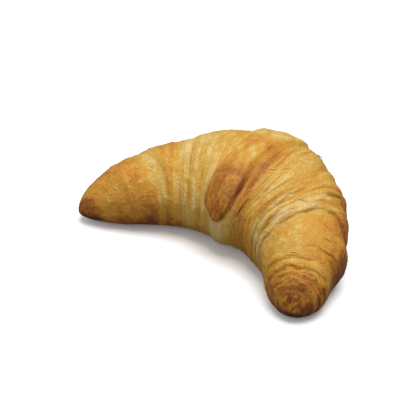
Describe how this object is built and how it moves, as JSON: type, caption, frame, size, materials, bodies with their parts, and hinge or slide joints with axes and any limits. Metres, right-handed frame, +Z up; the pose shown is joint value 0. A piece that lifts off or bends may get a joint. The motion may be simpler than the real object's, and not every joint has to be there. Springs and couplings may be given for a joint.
{
  "type": "croissant",
  "caption": "Baked crescent of rolled laminated dough with overlapping folds, a tongue across the top and a flat underside to rest on.",
  "frame": {"origin": "centre of the bounding box, on the flat underside it rests on", "axes": "+X from the left end towards the right end, along the chord of the crescent; +Y towards the outer side of the bend; +Z up"},
  "size_m": [0.1302, 0.0808, 0.0458],
  "materials": {
    "crust": "baked laminated dough crust, golden, slightly glossy"
  },
  "bodies": {
    "root": {"croissant": "crust"}
  },
  "joints": []
}
